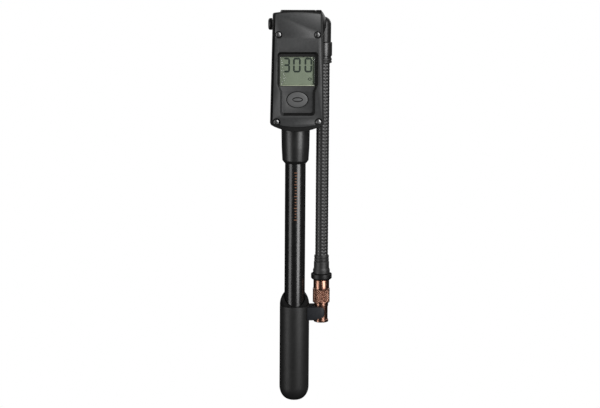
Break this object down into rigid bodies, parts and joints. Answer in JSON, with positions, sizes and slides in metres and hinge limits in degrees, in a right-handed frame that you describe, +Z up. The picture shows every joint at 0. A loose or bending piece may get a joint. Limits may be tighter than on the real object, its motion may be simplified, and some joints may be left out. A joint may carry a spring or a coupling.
{
  "type": "suspension pump",
  "caption": "Slim high-pressure hand pump with a digital gauge head, sliding handle, bleed button and a swivelling braided hose whose valve chuck clips to the handle.",
  "frame": {"origin": "where the barrel's axis meets the cross axis that the hose swivel and the bleed valve share, inside the pump head that a hand holds", "axes": "+Z up the barrel towards the head, -Y out of the gauge's face, +X towards the hose"},
  "size_m": [0.0427, 0.0273, 0.2597],
  "materials": {
    "head_moulding": "satin black moulded plastic, fine grain",
    "case_moulding": "satin black moulded plastic",
    "face_satin": "satin charcoal moulded plate",
    "clear_lens": "clear display window",
    "lcd_glass": "grey-green display with dark segments",
    "inner_plastic": "natural moulded",
    "board_laminate": "green laminate",
    "steel": "plain",
    "screw_steel": "zinc-plated pan heads",
    "barrel_gloss": "gloss black anodised tube",
    "brass": "turned",
    "grip_satin": "satin black moulded grip",
    "clip_slate": "slate grey moulded clip",
    "rod_chrome": "hard chromed",
    "knob_satin": "satin black",
    "button_grey": "grey moulded key",
    "ferrule_black": "black anodised crimp",
    "relief_rubber": "black moulded rubber",
    "hose_braid": "black braided cover",
    "ring_rubber": "black rubber ring",
    "copper_metal": "copper-coloured anodised, knurled in part",
    "seal_rubber": "nitrile"
  },
  "bodies": {
    "head": {"pump_head": "head_moulding", "gauge_case": "case_moulding", "face_plate": "face_satin", "case_gasket": "seal_rubber", "lcd_lens": "clear_lens", "lcd_cell": "lcd_glass", "lcd_frame": "inner_plastic", "circuit_board": "board_laminate", "switch_dome": "steel", "pressure_sensor": "steel", "sensor_seal": "seal_rubber", "coin_cell": "steel", "battery_clip": "steel", "face_screws": "screw_steel", "case_screws": "screw_steel", "barrel": "barrel_gloss", "barrel_collar": "head_moulding", "barrel_seal": "seal_rubber", "check_seat": "brass", "check_spring": "steel", "rod_guide": "inner_plastic", "rod_wiper": "seal_rubber", "stop_bumper": "seal_rubber", "bleed_bush": "brass", "bleed_spring": "steel", "swivel_pins": "steel"},
    "handle": {"handle_grip": "grip_satin", "handle_hood": "grip_satin", "hose_clip": "clip_slate", "end_plug": "grip_satin", "rod_screw": "screw_steel", "piston_rod": "rod_chrome", "piston": "inner_plastic", "piston_ring": "seal_rubber"},
    "bleed_button": {"bleed_knob": "knob_satin", "bleed_stem": "brass", "bleed_seal": "seal_rubber"},
    "mode_key": {"mode_button": "button_grey"},
    "valve_ball": {"check_ball": "steel"},
    "swivel": {"swivel_elbow": "head_moulding", "swivel_spigot": "brass", "swivel_seals": "seal_rubber", "hose_ferrule": "ferrule_black", "strain_relief": "relief_rubber", "hose_nipple": "brass", "hose_root": "hose_braid"},
    "hose_line": {"hose": "hose_braid", "hose_boot": "relief_rubber", "dust_ring": "ring_rubber", "chuck_body": "brass"},
    "chuck_sleeve": {"knurled_sleeve": "copper_metal"},
    "chuck_nut": {"valve_nut": "copper_metal", "valve_seal": "seal_rubber"},
    "chuck_pin": {"depressor_pin": "brass"}
  },
  "joints": [
    {"name": "handle_slide", "type": "slide", "parent": "head", "child": "handle", "axis": [0, 0, -1], "range_m": [0, 0.15]},
    {"name": "bleed_push", "type": "slide", "parent": "head", "child": "bleed_button", "axis": [1, 0, 0], "range_m": [0, 0.0012], "stiffness_N_per_m": 400, "springref_m": -0.001, "deforming": ["bleed_spring"]},
    {"name": "mode_press", "type": "slide", "parent": "head", "child": "mode_key", "axis": [0, 1, 0], "range_m": [0, 0.0004], "stiffness_N_per_m": 500, "springref_m": -0.0005},
    {"name": "ball_lift", "type": "slide", "parent": "head", "child": "valve_ball", "axis": [0, 0, 1], "range_m": [0, 0.0008], "stiffness_N_per_m": 50, "springref_m": -0.001, "deforming": ["check_spring"]},
    {"name": "swivel_turn", "type": "hinge", "parent": "head", "child": "swivel", "pos_m": [0.01775, 0, 0], "axis": [1, 0, 0], "range_deg": [0, 190], "deforming": ["hose_clip"]},
    {"name": "hose_bend", "type": "hinge", "parent": "swivel", "child": "hose_line", "pos_m": [0.01775, 0, -0.02945], "axis": [0, -1, 0], "range_deg": [0, 75]},
    {"name": "nut_spin", "type": "hinge", "parent": "hose_line", "child": "chuck_nut", "pos_m": [0.01775, 0, -0.1916], "axis": [0, 0, 1], "continuous": true},
    {"name": "sleeve_turn", "type": "hinge", "parent": "hose_line", "child": "chuck_sleeve", "pos_m": [0.01775, 0, -0.1786], "axis": [0, 0, 1], "range_deg": [0, 540]},
    {"name": "pin_feed", "type": "slide", "parent": "hose_line", "child": "chuck_pin", "axis": [0, 0, -1], "range_m": [0, 0.0015]}
  ],
  "couplings": [
    {"joint": "sleeve_turn", "follows": "pin_feed", "rad_per_m": 6283.2}
  ]
}
